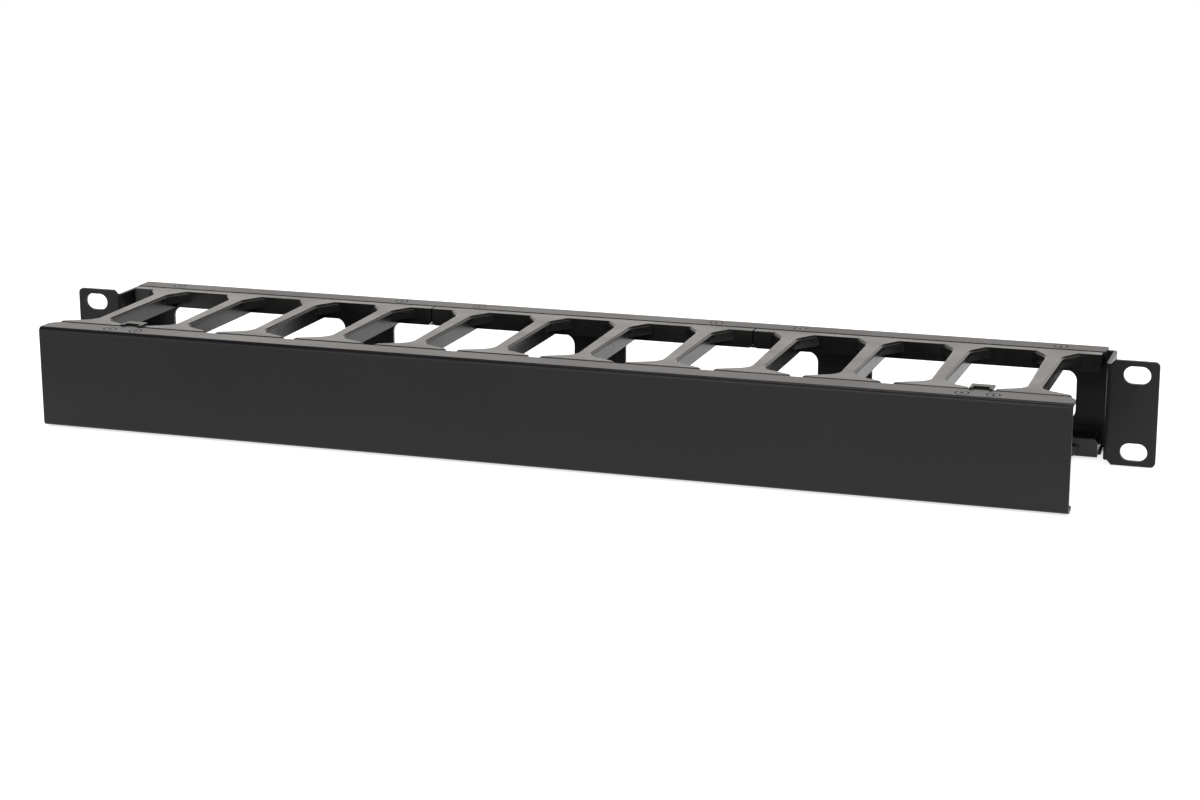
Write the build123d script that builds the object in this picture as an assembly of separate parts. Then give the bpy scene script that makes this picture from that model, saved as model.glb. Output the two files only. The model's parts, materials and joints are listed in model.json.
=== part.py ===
from build123d import *
import os

# A 1U, 19 inch horizontal cable manager with a hinged cover, in millimetres.
# X runs along the length, +Y to the rear of the rack and +Z up.
# The origin is midway between the ears, on their rear faces, which meet the rack rails.

# Rack ears
ear_span = 482.6
ear_height = 43.3
ear_width = 19.5
ear_corner_radius = 2.0
ear_root_chamfer = 2.0
slot_to_ear_side = 8.75
slot_to_ear_top = 5.775
slot_length = 10.8
slot_width = 7.3

# Folded steel channel
sheet = 1.5
bend_inner_radius = 0.5
channel_depth = 24.4
flange_drop = 0.05
flange_depth = 10.95
flange_end_gap = 2.2
side_wall_drop = 1.75
window_post = 23.3
window_band = 11.0
window_radius = 4.5
window_count = 4

# Plastic combs
fingers_per_comb = 4
comb_count = 3
comb_end_gap = 4.3
comb_joint_gap = 0.6
comb_drop = 0.25
finger_pitch_less = 0.35
hinge_pitch_more = 1.05
plate_thickness = 2.0
plate_edge_radius = 1.1
bar_height = 7.45
bar_wall = 2.0
bar_roof = 2.0
bar_foot_chamfer = 1.2
strip_depth = 5.1
boss_width = 8.0
finger_width_front = 6.0
finger_width_rear = 7.4
finger_reach = 71.6
finger_taper_end = 14.0
web_width_front = 3.8
web_width_rear = 5.2
web_front_setback = 2.2
gusset_run_x = 5.8
gusset_run_y = 8.7
gusset_radius = 7.0
gusset_height = 4.5
gusset_ledge = 0.8
gusset_ledge_drop = 1.3

# T-shaped heads
head_gap = 4.7
arm_tip_depth = 3.2
arm_root_depth = 9.2
arm_tip_radius = 1.3
arm_root_radius = 6.8
arm_rib_thickness = 1.4
arm_rib_height = 1.9
arm_rib_setback = 0.8
arm_rib_inset = 2.6

# Hinge bars and clips
fingers_outside_clip = 1
hinge_bar_radius = 0.7
hinge_bar_setback = 3.0
hinge_bar_drop = 1.3
hinge_bar_embed = 1.5
hinge_play = 0.05
clip_width = 9.0
clip_side_gap = 0.5
clip_base_width = 21.0
clip_base_thickness = 2.2
clip_base_radius = 2.0
clip_neck_overlap = 1.0
clip_screw_spacing = 12.0
knuckle_front = 3.15
knuckle_rear = 4.45
knuckle_up = 1.9
knuckle_down = 1.85
knuckle_radius = 0.6
knuckle_mouth = 2.4
knuckle_cheek = 1.3
knuckle_recess_depth = 3.4
knuckle_recess_drop = 0.75

# Folded steel cover
cover_sheet = 1.2
cover_bend_inner_radius = 0.6
cover_end_gap = 4.2
cover_drop = 0.2
cover_flange_depth = 11.45
cover_corner_radius = 5.0

# Countersunk screws
screw_shank_radius = 1.45
screw_head_radius = 2.8
screw_hole_radius = 1.5
comb_screw_length = 6.6
clip_screw_length = 3.1
comb_screw_setback = 6.6
recess_length = 2.8
recess_width = 0.6
recess_depth = 0.7

# Clearances between pieces that seat on each other
seat_gap = 0.2
cover_to_head_gap = 1.0

# How far a cut runs past the face it opens, and how near an edge must lie to be picked
cut_margin = 1.0
pick_range = 0.01

# Lengths and heights that follow from the ears
body_width = ear_span - 2 * ear_width
slot_spacing_x = ear_span - 2 * slot_to_ear_side
slot_spacing_z = ear_height - 2 * slot_to_ear_top
flange_height = ear_height - 2 * flange_drop
side_wall_height = ear_height - 2 * side_wall_drop
window_height = flange_height - 2 * window_band
comb_height = ear_height - 2 * comb_drop
cover_height = ear_height - 2 * cover_drop
cover_length = body_width - 2 * cover_end_gap
comb_pitch = (body_width - 2 * comb_end_gap) / comb_count
finger_pitch = comb_pitch / fingers_per_comb - finger_pitch_less
hinge_pitch = comb_pitch / fingers_per_comb + hinge_pitch_more
comb_length = comb_pitch - comb_joint_gap
window_pitch = comb_count * comb_pitch / window_count
window_width = window_pitch - window_post

# Places from the rear to the front
wall_rear_y = channel_depth - sheet
wall_front_y = wall_rear_y - sheet
comb_screw_y = wall_rear_y - comb_screw_setback
flange_front_y = wall_rear_y - flange_depth
bar_rear_y = wall_front_y - seat_gap
strip_rear_y = flange_front_y - seat_gap
bar_front_y = strip_rear_y - strip_depth
head_front_y = bar_front_y - finger_reach
hinge_y = head_front_y + hinge_bar_setback
cover_flange_rear_y = head_front_y - cover_to_head_gap
cover_front_y = cover_flange_rear_y - cover_flange_depth
clip_screw_y = (cover_flange_rear_y + cover_front_y) / 2

# Places above the middle, and along the length
flange_under_z = flange_height / 2 - sheet
plate_top_z = comb_height / 2
plate_under_z = plate_top_z - plate_thickness
bar_bottom_z = plate_top_z - bar_height
hinge_z = plate_top_z - hinge_bar_drop
cover_top_z = cover_height / 2
cover_under_z = cover_top_z - cover_sheet
arm_reach = (finger_pitch - head_gap) / 2
hinge_arm_reach = hinge_pitch / 2 - clip_width / 2 - clip_side_gap
far = 2 * ear_height


def block(x0, x1, y0, y1, z0, z1):
    """A box between two corners."""
    return Pos((x0 + x1) / 2, (y0 + y1) / 2, (z0 + z1) / 2) * Box(x1 - x0, y1 - y0, z1 - z0)


def folded_strip(points, thickness, inner_radius):
    """The section of a sheet folded along a centre line through the points."""
    path = FilletPolyline(*points, radius=inner_radius + thickness / 2)
    return trace(path, line_width=thickness)


def countersink(top_z, hole_radius):
    """The cone and hole that a countersunk screw takes, pointing down from top_z."""
    depth = screw_head_radius - hole_radius
    cone = Pos(0, 0, top_z - depth / 2) * Cone(hole_radius, screw_head_radius, depth)
    return cone + Pos(0, 0, top_z - ear_height / 6) * Cylinder(hole_radius, ear_height / 3)


def screw(top_z, length):
    """A countersunk screw with a cross recess, its head flush with top_z."""
    head_depth = screw_head_radius - screw_shank_radius
    head = Pos(0, 0, top_z - head_depth / 2) * Cone(screw_shank_radius, screw_head_radius, head_depth)
    shank = Pos(0, 0, top_z - length / 2) * Cylinder(screw_shank_radius, length)
    one_slot = Box(recess_length, recess_width, 2 * recess_depth)
    return head + shank - Pos(0, 0, top_z) * (one_slot + Rot(0, 0, 90) * one_slot)


def back_channel():
    """The back wall, flanges, side walls and ears, folded from one sheet."""
    half = body_width / 2 - sheet / 2
    mid = sheet / 2
    ear_y = -mid
    wall_y = wall_rear_y - mid
    right = [(half, wall_y), (half, ear_y), (ear_span / 2, ear_y)]
    left = [(-x, y) for x, y in reversed(right)]
    plan = folded_strip(left + right, sheet, bend_inner_radius)
    ends = extrude(plan, ear_height / 2, both=True)
    flange_half = body_width / 2 - sheet - flange_end_gap
    ends -= block(-flange_half, flange_half, -far, far, -far, far)
    trim_z = side_wall_height / 2
    for side in (1, -1):
        x_wall = side * (body_width / 2)
        for up in (1, -1):
            ends -= block(min(0, x_wall), max(0, x_wall), -far, far, *sorted((up * trim_z, up * far)))
            ends -= ear_root_cut(side, up)
    across = ends.edges().filter_by(Axis.Y).group_by(Axis.X)
    ends = fillet(across[0] + across[-1], ear_corner_radius)
    z_mid = flange_height / 2 - mid
    upper = [(flange_front_y, z_mid), (wall_y, z_mid)]
    lower = [(y, -z) for y, z in reversed(upper)]
    side_view = folded_strip(upper + lower, sheet, bend_inner_radius)
    middle = extrude(Plane.YZ * side_view, flange_half, both=True)
    channel = ends + middle
    channel -= windows()
    channel -= ear_slots()
    for x in comb_screw_places():
        hole = Pos(x, comb_screw_y, 0) * countersink(flange_height / 2, screw_hole_radius)
        channel -= [hole, mirror(hole, Plane.XY)]
    return channel


def ear_root_cut(side, up):
    """The relief that takes the corner off an ear where it meets the side wall's bend."""
    x = side * body_width / 2
    z = up * ear_height / 2
    drop = ear_root_chamfer
    corner = make_face(Polyline((x, z), (x + side * drop, z), (x, z - up * drop), close=True))
    return extrude(Plane.XZ * corner, far, both=True)


def windows():
    """The openings in the back wall, in a row with a post between each two."""
    opening = Plane.XZ * RectangleRounded(window_width, window_height, window_radius)
    first = -(window_count - 1) / 2 * window_pitch
    return [Pos(first + i * window_pitch, wall_rear_y, 0) * extrude(opening, 2 * sheet, both=True)
            for i in range(window_count)]


def ear_slots():
    """Two level slots in each ear."""
    slot = extrude(Plane.XZ * SlotOverall(slot_length, slot_width), 2 * sheet, both=True)
    return [Pos(sx * slot_spacing_x / 2, 0, sz * slot_spacing_z / 2) * slot
            for sx in (1, -1) for sz in (1, -1)]


def finger_places(hinge_gap):
    """X of a comb's fingers, centred on X = 0, with a wider step before finger number hinge_gap."""
    steps = [hinge_pitch if i == hinge_gap else finger_pitch for i in range(1, fingers_per_comb)]
    places = [sum(steps[:i]) for i in range(fingers_per_comb)]
    return [x - places[-1] / 2 for x in places]


def screwed_fingers():
    """Which of a comb's fingers have a screw behind them: the first and the last."""
    return 0, fingers_per_comb - 1


def comb_screw_places():
    """X of each screw that holds a comb, from left to right."""
    return [x + finger_places(gap)[i] for name, x, gap in comb_places() for i in screwed_fingers()]


def finger_plate(left_reach, right_reach):
    """The flat top of one finger with its T-shaped head and the fillets at its root."""
    outline = finger_half(right_reach) + mirror(finger_half(left_reach), Plane.YZ)
    return extrude(Pos(0, 0, plate_under_z) * outline, plate_thickness)


def finger_half(reach):
    """Half of a finger's outline seen from above, out to the end of one arm."""
    front = finger_width_front / 2
    rear = finger_width_rear / 2
    slope = (arm_root_depth - arm_tip_depth) / (arm_reach - front)
    tip_y = head_front_y + arm_tip_depth + (arm_reach - reach) * slope
    root = (front, head_front_y + arm_root_depth)
    outline = Polyline(
        (0, head_front_y), (reach, head_front_y), (reach, tip_y), root,
        (front, head_front_y + finger_taper_end), (rear, bar_front_y - gusset_run_y),
        (rear + gusset_run_x, bar_front_y), (rear + gusset_run_x, strip_rear_y), (0, strip_rear_y),
        close=True)
    face = make_face(outline)
    tips = face.vertices().filter_by_position(Axis.X, reach - pick_range, reach + pick_range)
    face = fillet(tips, arm_tip_radius)
    corner = face.vertices().sort_by_distance((root[0], root[1], 0))[0]
    face = fillet(corner, arm_root_radius)
    corner = face.vertices().sort_by_distance((rear, bar_front_y - gusset_run_y, 0))[0]
    return fillet(corner, gusset_radius)


def finger_web():
    """The upright rib below a finger, with its shallow gussets at the root."""
    front = web_width_front / 2
    rear = web_width_rear / 2
    gusset = finger_width_rear / 2 + gusset_run_x + gusset_ledge
    y_front = head_front_y + web_front_setback
    y_gusset = bar_front_y - gusset_run_y
    web = make_face(Polyline(
        (-front, y_front), (front, y_front), (rear, y_gusset), (rear, strip_rear_y), (-rear, strip_rear_y),
        (-rear, y_gusset), close=True))
    wedge = make_face(Polyline(
        (-rear, y_gusset - gusset_ledge), (rear, y_gusset - gusset_ledge), (gusset, bar_front_y),
        (gusset, strip_rear_y), (-gusset, strip_rear_y), (-gusset, bar_front_y), close=True))
    tall = extrude(Pos(0, 0, bar_bottom_z) * web, plate_under_z - bar_bottom_z)
    low_z = plate_top_z - gusset_height
    return tall + extrude(Pos(0, 0, low_z) * wedge, gusset_height - gusset_ledge_drop)


def arm_rib(left_reach, right_reach):
    """The thin rib that stiffens a head's arms from below."""
    y0 = head_front_y + arm_rib_setback
    return block(-left_reach + arm_rib_inset, right_reach - arm_rib_inset, y0, y0 + arm_rib_thickness,
                 plate_under_z - arm_rib_height, plate_under_z)


def comb(hinge_gap):
    """A comb for the top, centred on X = 0. The hinge bar follows finger hinge_gap, if it isn't None."""
    half = comb_length / 2
    centres = finger_places(hinge_gap)
    body = extrude(Plane.YZ * bar_section(), half, both=True)
    for i, x in enumerate(centres):
        left = hinge_arm_reach if hinge_gap == i else arm_reach
        right = hinge_arm_reach if hinge_gap == i + 1 else arm_reach
        body += Pos(x, 0, 0) * (finger_plate(left, right) + finger_web() + arm_rib(left, right))
    body = fillet(top_rim(body), plate_edge_radius)
    body = chamfer(bar_feet(body), bar_foot_chamfer)
    body -= bar_pockets(centres, half)
    if hinge_gap is not None:
        body += hinge_bar(centres[hinge_gap] - hinge_pitch / 2)
    pilot = Pos(0, comb_screw_y, 0) * Cylinder(screw_hole_radius, far)
    for i in screwed_fingers():
        body -= Pos(centres[i], 0, flange_height / 2 - comb_screw_length - seat_gap + far / 2) * pilot
    return body


def bar_section():
    """The rear bar seen from its end: a strip before the steel flange and a lip below it."""
    corner = bend_inner_radius
    return make_face(Polyline(
        (bar_front_y, bar_bottom_z), (bar_rear_y, bar_bottom_z), (bar_rear_y, flange_under_z - corner),
        (bar_rear_y - corner, flange_under_z), (strip_rear_y, flange_under_z), (strip_rear_y, plate_top_z),
        (bar_front_y, plate_top_z), close=True))


def top_rim(body):
    """The edges round the fingers and heads at the top of a comb, as far back as the rear bar."""
    top = body.faces().sort_by(Axis.Z)[-1]
    return [e for e in top.outer_wire().edges() if e.center().Y < bar_front_y - pick_range]


def bar_feet(body):
    """The two level edges at the bottom of a comb's rear bar, one at each end."""
    low = body.edges().filter_by(Axis.Y).filter_by_position(
        Axis.Z, bar_bottom_z - pick_range, bar_bottom_z + pick_range)
    return [e for e in low if abs(abs(e.center().X) - comb_length / 2) < pick_range]


def bar_pockets(centres, half):
    """The hollows that keep the rear bar's walls even, between the bosses under the fingers."""
    walls = [-half + bar_wall - boss_width / 2] + centres + [half - bar_wall + boss_width / 2]
    return [block(a + boss_width / 2, b - boss_width / 2, bar_front_y + bar_wall, bar_rear_y - bar_wall,
                  bar_bottom_z - cut_margin, flange_under_z - bar_roof) for a, b in zip(walls, walls[1:])]


def hinge_bar(x):
    """The thin round bar that joins two heads and carries the cover's knuckle."""
    length = 2 * (hinge_pitch / 2 - hinge_arm_reach + hinge_bar_embed)
    return Pos(x, hinge_y, hinge_z) * Rot(0, 90, 0) * Cylinder(hinge_bar_radius, length)


def cover():
    """The front face with its two flanges, folded from one sheet."""
    mid = cover_sheet / 2
    z_mid = cover_top_z - mid
    front = cover_front_y + mid
    section = folded_strip(
        [(cover_flange_rear_y, z_mid), (front, z_mid), (front, -z_mid), (cover_flange_rear_y, -z_mid)],
        cover_sheet, cover_bend_inner_radius)
    body = extrude(Plane.YZ * section, cover_length / 2, both=True)
    body = fillet(body.edges().filter_by(Axis.Z).group_by(Axis.Y)[-1], cover_corner_radius)
    for x in clip_screw_places():
        hole = Pos(x, clip_screw_y, 0) * countersink(cover_top_z, screw_hole_radius)
        body -= [hole, mirror(hole, Plane.XY)]
    return body


def clip_screw_places():
    """X of each screw that holds a clip, from left to right."""
    return [x + step * clip_screw_spacing / 2 for name, x in clip_places() for step in (-1, 1)]


def hinge_clip():
    """A clip for the top, centred on X = 0: base, neck and a knuckle open to the rear."""
    base_front_y = cover_front_y + cover_sheet + seat_gap
    base_rear_y = cover_flange_rear_y - seat_gap
    base_z = cover_under_z - clip_base_thickness
    plate = RectangleRounded(clip_base_width, base_rear_y - base_front_y, clip_base_radius)
    body = extrude(Pos(0, (base_front_y + base_rear_y) / 2, base_z) * plate, clip_base_thickness)
    top_front = body.edges().filter_by(Axis.X).group_by(Axis.Z)[-1].sort_by(Axis.Y)[0]
    body = chamfer(top_front, cover_bend_inner_radius)
    neck_rear_y = hinge_y - knuckle_front + clip_neck_overlap
    body += block(-clip_width / 2, clip_width / 2, base_rear_y - 2 * clip_base_thickness, neck_rear_y,
                  base_z, cover_under_z)
    body += knuckle()
    for x in (-clip_screw_spacing / 2, clip_screw_spacing / 2):
        body -= Pos(x, clip_screw_y, 0) * countersink(cover_top_z, screw_hole_radius)
    return body


def knuckle():
    """The rounded block round the hinge bar, with a mouth to the rear and a recess in front."""
    y0 = hinge_y - knuckle_front
    y1 = hinge_y + knuckle_rear
    z0 = hinge_z - knuckle_down
    z1 = hinge_z + knuckle_up
    block_face = Pos((y0 + y1) / 2, (z0 + z1) / 2) * RectangleRounded(y1 - y0, z1 - z0, knuckle_radius)
    seat = hinge_bar_radius + hinge_play
    mouth_y = y1 + cut_margin
    mouth = make_face(Polyline(
        (hinge_y, hinge_z - seat), (mouth_y, hinge_z - knuckle_mouth / 2),
        (mouth_y, hinge_z + knuckle_mouth / 2), (hinge_y, hinge_z + seat), close=True))
    section = block_face - Pos(hinge_y, hinge_z) * Circle(seat) - mouth
    body = extrude(Plane.YZ * section, clip_width / 2, both=True)
    recess_half = clip_width / 2 - knuckle_cheek
    return body - block(-recess_half, recess_half, y0 - cut_margin, y0 + knuckle_recess_depth,
                        z1 - knuckle_recess_drop, z1 + cut_margin)


def clip_places():
    """Name and X of each clip along one flange: in the middle of each hinge gap."""
    return [(name, x + finger_places(gap)[gap] - hinge_pitch / 2)
            for name, x, gap in comb_places() if gap is not None]


def comb_places():
    """Name, X and hinge gap of each comb along one flange."""
    last = fingers_per_comb - fingers_outside_clip
    return [("left", -comb_pitch, fingers_outside_clip), ("middle", 0, None), ("right", comb_pitch, last)]


def build():
    """Every node by name."""
    nodes = {"back_channel": back_channel(), "cover": cover()}
    for name, x, gap in comb_places():
        top = Pos(x, 0, 0) * comb(gap)
        nodes[f"comb_top_{name}"] = top
        nodes[f"comb_bottom_{name}"] = mirror(top, Plane.XY)
    for name, x in clip_places():
        top = Pos(x, 0, 0) * hinge_clip()
        nodes[f"clip_top_{name}"] = top
        nodes[f"clip_bottom_{name}"] = mirror(top, Plane.XY)
    comb_screw = screw(flange_height / 2, comb_screw_length)
    for i, x in enumerate(comb_screw_places(), start=1):
        top = Pos(x, comb_screw_y, 0) * comb_screw
        nodes[f"comb_screw_top_{i}"] = top
        nodes[f"comb_screw_bottom_{i}"] = mirror(top, Plane.XY)
    clip_screw = screw(cover_top_z, clip_screw_length)
    for i, x in enumerate(clip_screw_places(), start=1):
        top = Pos(x, clip_screw_y, 0) * clip_screw
        nodes[f"clip_screw_top_{i}"] = top
        nodes[f"clip_screw_bottom_{i}"] = mirror(top, Plane.XY)
    return nodes


os.makedirs("parts", exist_ok=True)
for name, shape in build().items():
    export_step(shape, f"parts/{name}.step")
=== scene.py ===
import json
import math

import bpy
from mathutils import Matrix, Vector


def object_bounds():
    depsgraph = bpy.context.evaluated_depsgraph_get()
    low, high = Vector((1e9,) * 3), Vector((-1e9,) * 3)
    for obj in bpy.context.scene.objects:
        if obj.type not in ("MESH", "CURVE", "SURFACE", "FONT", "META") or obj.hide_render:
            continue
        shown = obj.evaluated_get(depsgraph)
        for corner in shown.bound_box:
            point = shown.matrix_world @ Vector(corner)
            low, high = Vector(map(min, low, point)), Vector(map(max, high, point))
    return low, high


# Rack cable manager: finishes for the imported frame, floor, lights and camera. Metres, +Z up, -Y to the front.

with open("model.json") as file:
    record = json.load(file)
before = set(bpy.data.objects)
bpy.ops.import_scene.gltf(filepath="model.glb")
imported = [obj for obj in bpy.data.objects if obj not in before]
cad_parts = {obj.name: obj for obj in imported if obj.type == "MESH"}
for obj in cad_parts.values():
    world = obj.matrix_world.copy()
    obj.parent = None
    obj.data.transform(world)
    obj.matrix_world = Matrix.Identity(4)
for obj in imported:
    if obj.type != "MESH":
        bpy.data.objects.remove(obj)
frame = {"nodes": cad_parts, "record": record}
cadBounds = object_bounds()
bpy.ops.object.select_all(action="DESELECT")
print("frame loaded:", len(frame["nodes"]), "nodes")


def newFinish(name):
    finish = bpy.data.materials.new(name)
    finish.use_nodes = True
    tree = finish.node_tree
    place = tree.nodes.new("ShaderNodeTexCoord")
    return finish, tree, tree.nodes["Principled BSDF"], place.outputs["Object"]


def noise(tree, place, grain):
    texture = tree.nodes.new("ShaderNodeTexNoise")
    texture.inputs["Scale"].default_value = 1.0 / grain["size"]     # size is one speck in metres
    texture.inputs["Detail"].default_value = grain["detail"]
    texture.inputs["Roughness"].default_value = grain["rough"]
    tree.links.new(place, texture.inputs["Vector"])
    return texture.outputs["Fac"]


def spread(tree, value, low, high, start=0.3, end=0.7):   # most of a noise lies from 0.3 to 0.7
    fit = tree.nodes.new("ShaderNodeMapRange")
    fit.inputs["From Min"].default_value = start
    fit.inputs["From Max"].default_value = end
    fit.inputs["To Min"].default_value = low
    fit.inputs["To Max"].default_value = high
    tree.links.new(value, fit.inputs["Value"])
    return fit.outputs["Result"]


def blendColour(tree, value, first, second):              # each colour is a tuple or another node's output
    mix = tree.nodes.new("ShaderNodeMix")
    mix.data_type = "RGBA"
    for name, colour in (("A", first), ("B", second)):
        if isinstance(colour, tuple):
            mix.inputs[name].default_value = (*colour, 1)
        else:
            tree.links.new(colour, mix.inputs[name])
    tree.links.new(value, mix.inputs["Factor"])
    return mix.outputs["Result"]


def maths(tree, operation, first, second):                # second is a number or another node's output
    result = tree.nodes.new("ShaderNodeMath")
    result.operation = operation
    tree.links.new(first, result.inputs[0])
    if isinstance(second, float):
        result.inputs[1].default_value = second
    else:
        tree.links.new(second, result.inputs[1])
    return result.outputs["Value"]


def vectorMaths(tree, operation, first, second=None):
    result = tree.nodes.new("ShaderNodeVectorMath")
    result.operation = operation
    tree.links.new(first, result.inputs[0])
    if second is not None:
        result.inputs[1].default_value = second
    return result.outputs["Value" if operation == "LENGTH" else "Vector"]


def along(tree, place, axis):
    split = tree.nodes.new("ShaderNodeSeparateXYZ")
    tree.links.new(place, split.inputs["Vector"])
    return split.outputs[axis]


def coat(tree, shader, colour, gloss, ior):
    tree.links.new(colour, shader.inputs["Base Color"])
    tree.links.new(gloss, shader.inputs["Roughness"])
    shader.inputs["IOR"].default_value = ior


def bumps(tree, shader, layers):
    normal = None
    for height, depth in layers:                          # depth is the relief in metres
        bump = tree.nodes.new("ShaderNodeBump")
        bump.inputs["Strength"].default_value = 1.0
        bump.inputs["Distance"].default_value = depth
        tree.links.new(height, bump.inputs["Height"])
        if normal:
            tree.links.new(normal, bump.inputs["Normal"])
        normal = bump.outputs["Normal"]
    tree.links.new(normal, shader.inputs["Normal"])


# powder coat on the folded sheets: orange peel, a fine grit, and slow clouds of shade and gloss
channelLook = {"dark": (0.0125, 0.0118, 0.0132), "light": (0.0188, 0.0173, 0.0185), "shades": (0.7, 1.3),
               "rough": (0.29, 0.36), "gritRough": 0.03, "ior": 1.34,
               "peel": {"size": 0.0009, "detail": 3.0, "rough": 0.5, "depth": 0.000008},
               "grit": {"size": 0.00035, "detail": 2.0, "rough": 0.6, "depth": 0.000005},
               "cloud": {"size": 0.06, "detail": 4.0, "rough": 0.55}}
coverLook = {"dark": (0.0095, 0.0088, 0.0105), "light": (0.0147, 0.0136, 0.0155), "shades": (0.7, 1.3),
             "rough": (0.27, 0.33), "gritRough": 0.03, "ior": 1.40,
             "peel": {"size": 0.0008, "detail": 3.0, "rough": 0.5, "depth": 0.000007},
             "grit": {"size": 0.0003, "detail": 2.0, "rough": 0.6, "depth": 0.000004},
             "cloud": {"size": 0.09, "detail": 4.0, "rough": 0.55}}


def powderCoat(name, look):
    finish, tree, shader, place = newFinish(name)
    peel = noise(tree, place, look["peel"])
    grit = noise(tree, place, look["grit"])
    cloud = noise(tree, place, look["cloud"])
    shade = spread(tree, maths(tree, "ADD", peel, cloud), 0.0, 1.0, *look["shades"])
    colour = blendColour(tree, shade, look["dark"], look["light"])
    broad = spread(tree, cloud, *look["rough"])
    fine = spread(tree, grit, -look["gritRough"], look["gritRough"])
    coat(tree, shader, colour, maths(tree, "ADD", broad, fine), look["ior"])
    bumps(tree, shader, [(peel, look["peel"]["depth"]), (grit, look["grit"]["depth"])])
    return finish


# moulded plastic: the mould's spark texture, and flow marks in its shade and gloss
combLook = {"dark": (0.008, 0.0077, 0.0075), "light": (0.015, 0.0145, 0.014),
            "rough": (0.22, 0.30), "sparkRough": 0.02, "ior": 1.48,
            "spark": {"size": 0.00028, "detail": 3.0, "rough": 0.65, "depth": 0.0000015},
            "flow": {"size": 0.018, "detail": 3.0, "rough": 0.5, "depth": 0.000008}}
clipLook = {"dark": (0.007, 0.007, 0.007), "light": (0.012, 0.012, 0.012),
            "rough": (0.25, 0.35), "sparkRough": 0.03, "ior": 1.38,
            "spark": {"size": 0.00025, "detail": 3.0, "rough": 0.65, "depth": 0.000003},
            "flow": {"size": 0.006, "detail": 3.0, "rough": 0.5, "depth": 0.00001}}


def mouldedPlastic(name, look):
    finish, tree, shader, place = newFinish(name)
    spark = noise(tree, place, look["spark"])
    flow = noise(tree, place, look["flow"])
    colour = blendColour(tree, spread(tree, flow, 0.0, 1.0), look["dark"], look["light"])
    broad = spread(tree, flow, *look["rough"])
    fine = spread(tree, spark, -look["sparkRough"], look["sparkRough"])
    coat(tree, shader, colour, maths(tree, "ADD", broad, fine), look["ior"])
    bumps(tree, shader, [(spark, look["spark"]["depth"]), (flow, look["flow"]["depth"])])
    return finish


# black zinc on the screws, blotched and lightly scratched; painted shade in the seam round each head and in its
# recess is dull and dark, and takes the metal's place
screwLook = {"dark": (0.07, 0.07, 0.072), "light": (0.13, 0.13, 0.132), "paintedShade": (0.004, 0.004, 0.004),
             "rough": (0.26, 0.36), "paintedShadeRough": 0.65, "metallic": 0.8, "ior": 1.2,
             "blotch": {"size": 0.0016, "detail": 3.0, "rough": 0.5},
             "scratch": {"size": 0.0003, "detail": 2.0, "rough": 0.5, "depth": 0.000006},
             "seam": {"starts": 0.00065, "full": 0.000325},       # in from the head's rim
             "recess": {"starts": 0.00005, "full": 0.0002}}       # down from the head's face


def headPaintedShade(tree, place, look, screw):                   # 1 where shade is painted: in the seam round a screw's head and in its recess
    corners = [Vector(corner) for corner in screw.bound_box]
    radius = (max(c.x for c in corners) - min(c.x for c in corners)) / 2
    face = max(abs(c.z) for c in corners)                 # the head lies on the side away from the middle plane
    away = vectorMaths(tree, "SUBTRACT", place, sum(corners, Vector()) / len(corners))
    reach = vectorMaths(tree, "LENGTH", vectorMaths(tree, "MULTIPLY", away, (1, 1, 0)))
    seam = spread(tree, reach, 0.0, 1.0, radius - look["seam"]["starts"], radius - look["seam"]["full"])
    height = maths(tree, "MULTIPLY", along(tree, place, "Z"), 1.0 if corners[0].z > 0 else -1.0)
    recess = spread(tree, height, 1.0, 0.0, face - look["recess"]["full"], face - look["recess"]["starts"])
    return maths(tree, "MAXIMUM", seam, recess)


def blackZinc(name, look, screw):
    finish, tree, shader, place = newFinish(name)
    blotch = noise(tree, place, look["blotch"])
    scratch = noise(tree, place, look["scratch"])
    # painted shade: a dark, dull mask in the seam round the head and in its recess
    paintedShade = headPaintedShade(tree, place, look, screw)
    zinc = blendColour(tree, spread(tree, blotch, 0.0, 1.0), look["dark"], look["light"])
    colour = blendColour(tree, paintedShade, zinc, look["paintedShade"])
    clean = spread(tree, blotch, *look["rough"])
    dull = maths(tree, "MULTIPLY", paintedShade, look["paintedShadeRough"])
    coat(tree, shader, colour, maths(tree, "ADD", clean, dull), look["ior"])
    metal = spread(tree, paintedShade, look["metallic"], 0.0, 0.0, 1.0)
    tree.links.new(metal, shader.inputs["Metallic"])
    bumps(tree, shader, [(scratch, look["scratch"]["depth"])])
    return finish


finishes = {"channel_steel": powderCoat("channelCoat", channelLook),
            "cover_steel": powderCoat("coverCoat", coverLook),
            "comb_plastic": mouldedPlastic("combPlastic", combLook),
            "clip_plastic": mouldedPlastic("clipPlastic", clipLook)}


def dressNodes():
    for part in frame["record"]["subparts"]:
        node = frame["nodes"][part["node"]]
        finish = finishes.get(part["material_slot"])
        if not finish:                                    # each screw has its own, since the painted shade follows its head
            finish = blackZinc(part["node"] + "_zinc", screwLook, node)
        if not node.material_slots:
            node.data.materials.append(finish)
        for slot in node.material_slots:
            slot.material = finish


dressNodes()
print("finishes on the frame's nodes")

# lift is the white that the camera sees on top of the lit floor, and mirrored is the same in reflections,
# as pairs of a place on Y and the white there
floorLook = {"size": 3.0, "gap": 0.0002, "colour": (0.86, 0.86, 0.86), "paler": 1.01,
             "patch": {"size": 0.4, "detail": 3.0, "rough": 0.5}, "rough": 0.6, "specular": 0.1,
             "lift": 0.7, "mirrored": [(-0.25, 0.0), (-0.15, 0.1), (-0.08, 0.45)]}


def mirrorLift(tree, place, stops):
    lift = None
    for (start, low), (end, high) in zip(stops, stops[1:]):
        step = spread(tree, along(tree, place, "Y"), 0.0, high - low, start, end)
        lift = maths(tree, "ADD", lift, step) if lift else step
    return lift


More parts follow.
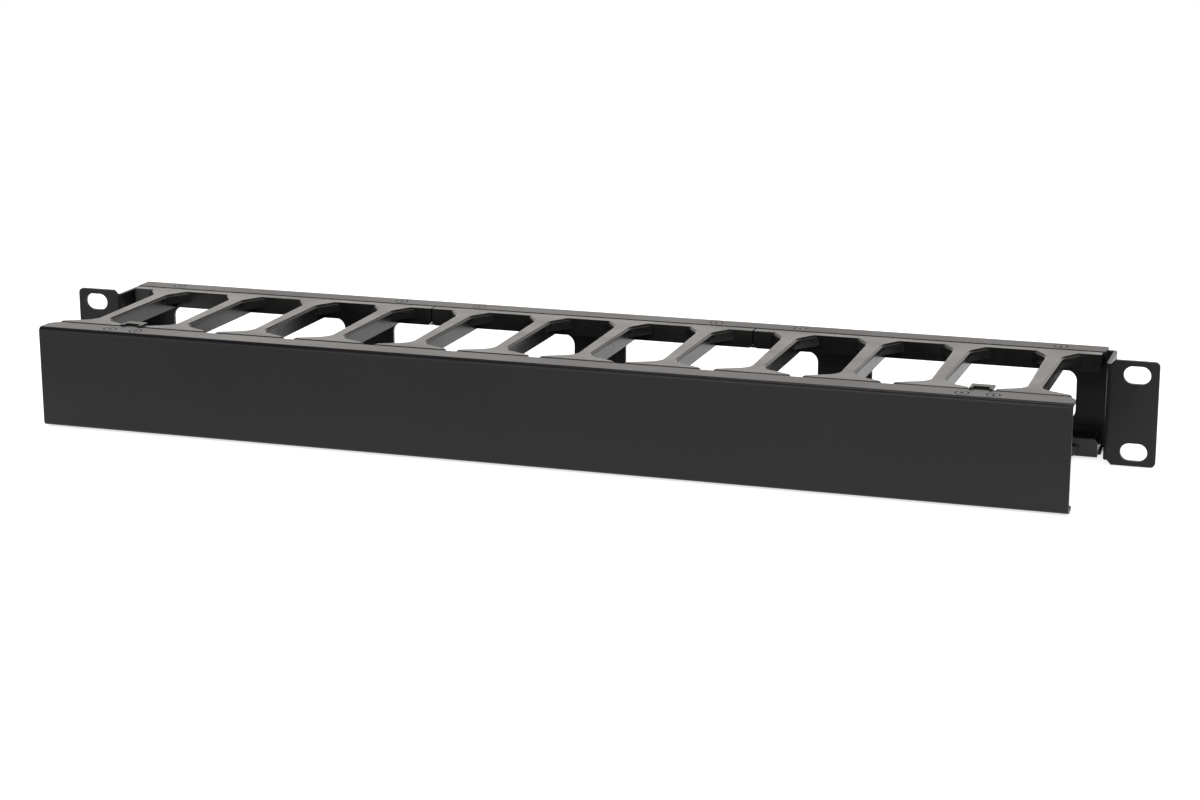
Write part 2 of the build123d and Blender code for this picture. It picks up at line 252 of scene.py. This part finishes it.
def paleFloor(look):
    low = cadBounds[0][2] - look["gap"]
    bpy.ops.mesh.primitive_plane_add(size=look["size"], location=(0, 0, low))
    floor = bpy.context.object
    floor.name = "floor"
    finish, tree, shader, place = newFinish("floorPaint")
    patch = spread(tree, noise(tree, place, look["patch"]), 0.0, 1.0)
    paint = blendColour(tree, patch, look["colour"], tuple(c * look["paler"] for c in look["colour"]))
    tree.links.new(paint, shader.inputs["Base Color"])
    shader.inputs["Roughness"].default_value = look["rough"]
    shader.inputs["Specular IOR Level"].default_value = look["specular"]
    rays = tree.nodes.new("ShaderNodeLightPath").outputs
    direct = maths(tree, "MULTIPLY", rays["Is Camera Ray"], look["lift"])
    mirrored = maths(tree, "MULTIPLY", rays["Is Glossy Ray"], mirrorLift(tree, place, look["mirrored"]))
    glow = tree.nodes.new("ShaderNodeEmission")
    glow.inputs["Color"].default_value = (1, 1, 1, 1)
    tree.links.new(maths(tree, "ADD", direct, mirrored), glow.inputs["Strength"])
    both = tree.nodes.new("ShaderNodeAddShader")
    tree.links.new(shader.outputs["BSDF"], both.inputs[0])
    tree.links.new(glow.outputs["Emission"], both.inputs[1])
    tree.links.new(both.outputs["Shader"], tree.nodes["Material Output"].inputs["Surface"])
    floor.data.materials.append(finish)


paleFloor(floorLook)
print("floor laid")

# ambient lights the object, seen is the backdrop, and the bands show in reflections, from straight down at 0
# to straight up at 1
skyLook = {"ambient": 0.5, "seen": 1.0, "tint": (1.0, 0.96, 0.92),
           "bands": [(0.0, 0.6), (0.49, 0.8), (0.505, 1.45), (0.66, 1.35),
                     (0.71, 0.06), (0.90, 0.05), (0.97, 0.1)]}
lamps = [{"name": "overhead", "place": (0.1, 0.1, 1.5), "aim": (0, -0.02, 0), "size": (1.2, 0.8), "watts": 5.0},
         {"name": "frontHigh", "place": (0.3, -1.6, 1.05), "aim": (0, -0.05, 0), "size": (2.0, 0.3),
          "watts": 9.0},
         {"name": "rightEnd", "place": (1.5, -0.5, 0.6), "aim": (0.2, -0.03, 0), "size": (0.7, 0.7),
          "watts": 3.0}]


def skyBands(tree, look):
    toward = tree.nodes.new("ShaderNodeTexCoord").outputs["Generated"]
    ramp = tree.nodes.new("ShaderNodeValToRGB")
    stops = ramp.color_ramp.elements
    for index, (place, level) in enumerate(look["bands"]):
        stop = stops[index] if index < 2 else stops.new(place)     # a new ramp has two stops
        stop.position = place
        stop.color = (*(level * part for part in look["tint"]), 1)
    tree.links.new(spread(tree, along(tree, toward, "Z"), 0.0, 1.0, -1.0, 1.0), ramp.inputs["Fac"])
    return ramp.outputs["Color"]


def sky(look):
    world = bpy.data.worlds.new("studio")
    bpy.context.scene.world = world
    world.use_nodes = True
    tree = world.node_tree
    rays = tree.nodes.new("ShaderNodeLightPath").outputs
    mirrored = maths(tree, "MAXIMUM", rays["Is Glossy Ray"], rays["Is Transmission Ray"])
    plain = blendColour(tree, rays["Is Camera Ray"], (look["ambient"],) * 3, (look["seen"],) * 3)
    light = blendColour(tree, mirrored, plain, skyBands(tree, look))
    tree.links.new(light, tree.nodes["Background"].inputs["Color"])


def turnTo(place, aim):
    return (Vector(aim) - Vector(place)).to_track_quat("-Z", "Y")


def lampAt(spec):
    bpy.ops.object.light_add(type="AREA", location=spec["place"])
    lamp = bpy.context.object
    lamp.name = spec["name"]
    lamp.data.shape = "RECTANGLE"
    lamp.data.size, lamp.data.size_y = spec["size"]
    lamp.data.energy = spec["watts"]
    lamp.rotation_euler = turnTo(spec["place"], spec["aim"]).to_euler()


sky(skyLook)
for spec in lamps:
    lampAt(spec)
print("lights up")

shot = {"place": (0.335899, -0.996568, 0.257019), "aim": (0.01699, -0.03009, -0.003859),
        "roll": 0.1595, "lens": 75.96, "sensor": 36.0}    # roll in degrees, lens and sensor in millimetres


def cameraAt(view):
    bpy.ops.object.camera_add(location=view["place"])
    camera = bpy.context.object
    roll = Matrix.Rotation(math.radians(-view["roll"]), 3, "Z")
    camera.rotation_euler = (turnTo(view["place"], view["aim"]).to_matrix() @ roll).to_euler()
    camera.data.sensor_width = view["sensor"]
    camera.data.lens = view["lens"]
    bpy.context.scene.camera = camera


cameraAt(shot)
bpy.context.scene.view_settings.view_transform = "Standard"
print("camera set")
